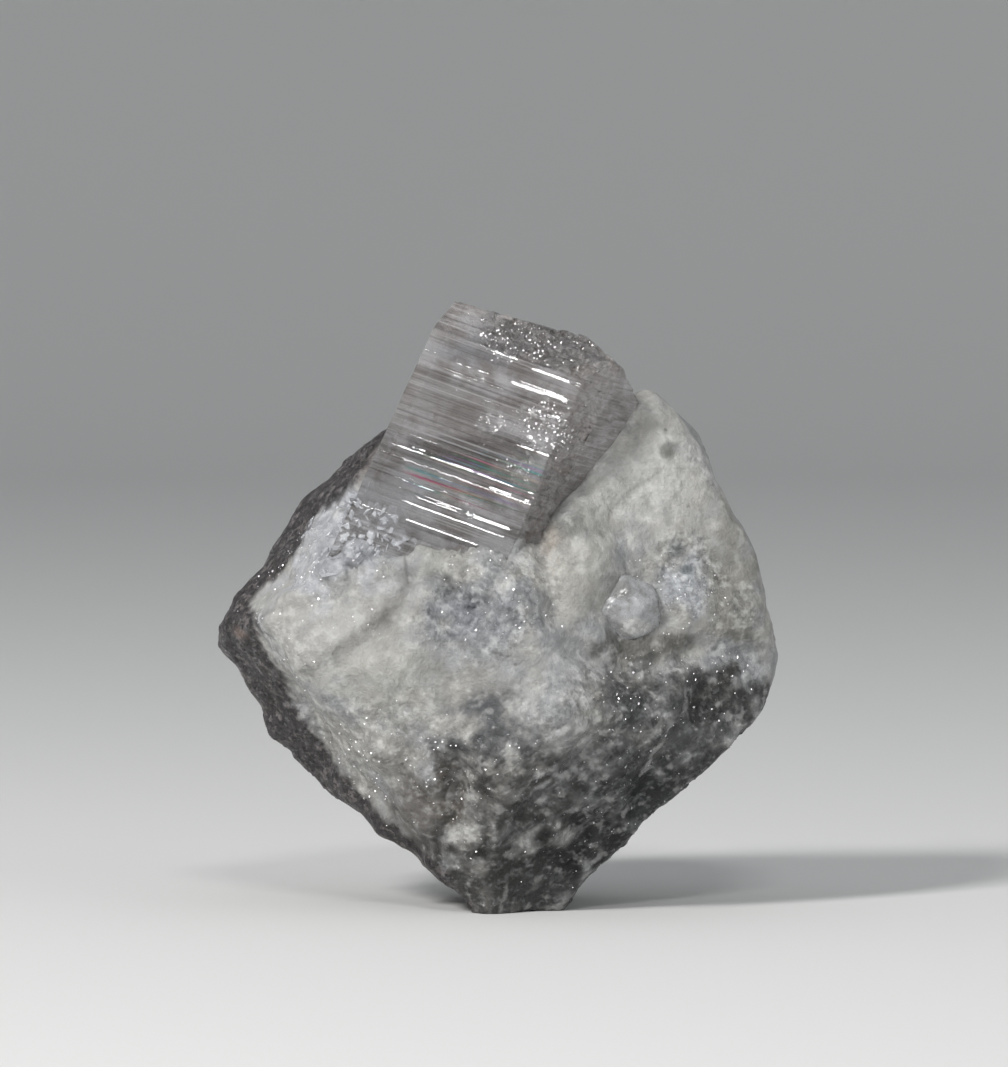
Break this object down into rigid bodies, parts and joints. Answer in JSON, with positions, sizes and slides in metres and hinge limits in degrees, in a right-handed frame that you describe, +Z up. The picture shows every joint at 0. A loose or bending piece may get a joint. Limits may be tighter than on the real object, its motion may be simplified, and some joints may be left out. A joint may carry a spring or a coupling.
{
  "type": "heidornite crystal on matrix",
  "caption": "Smoky striated heidornite crystal leaning out of a white granular anhydrite matrix, with a small glassy second crystal. Display mineral specimen.",
  "frame": {"origin": "centre of the flat foot that the matrix stands on", "axes": "+Z up; the striated face of the crystal looks along -Y; +X to the right when it is seen from the front"},
  "size_m": [0.0297, 0.0206, 0.0322],
  "materials": {
    "matrix": "matte",
    "heidornite": "polished",
    "small_crystal": "gloss"
  },
  "bodies": {
    "root": {"matrix": "matrix", "heidornite_crystal": "heidornite", "small_crystal": "small_crystal"}
  },
  "joints": []
}
